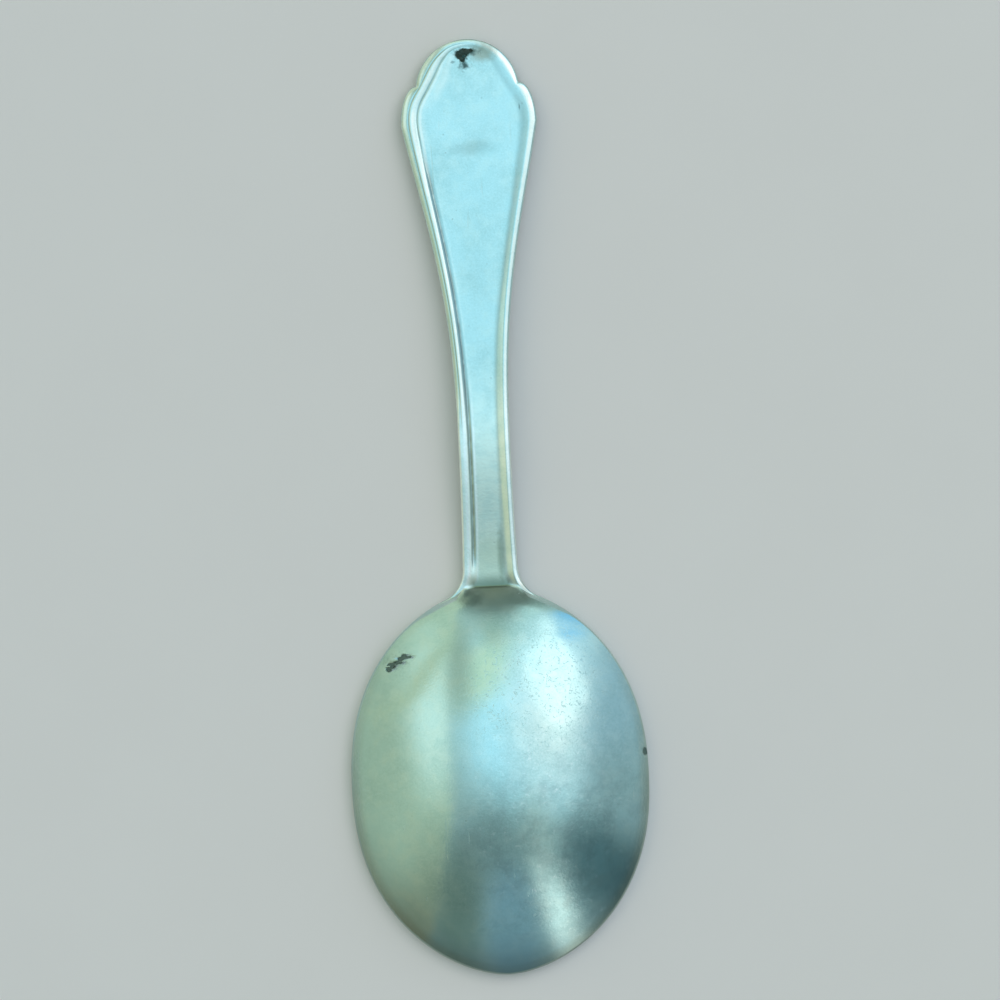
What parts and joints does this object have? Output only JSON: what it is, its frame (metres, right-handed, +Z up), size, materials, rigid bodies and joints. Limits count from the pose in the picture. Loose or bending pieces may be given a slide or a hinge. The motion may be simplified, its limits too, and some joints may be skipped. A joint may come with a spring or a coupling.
{
  "type": "baby spoon",
  "caption": "Short-handled baby spoon with an oval bowl and a tapering handle that has a beaded border on its back, silver plated and worn.",
  "frame": {"origin": "middle of the spoon's box, on the table under it", "axes": "+Y from the bowl's tip to the handle's tip, +Z up out of the back of the spoon, which lies face down, +X to the right with the handle pointing away"},
  "size_m": [0.0342, 0.108, 0.0086],
  "materials": {
    "base_metal": "dull struck nickel silver, darkened where the plate is gone",
    "silver": "worn satin silver plate with fine scratches and tarnish"
  },
  "bodies": {
    "root": {"base_metal_blank": "base_metal", "silver_plate": "silver"}
  },
  "joints": []
}
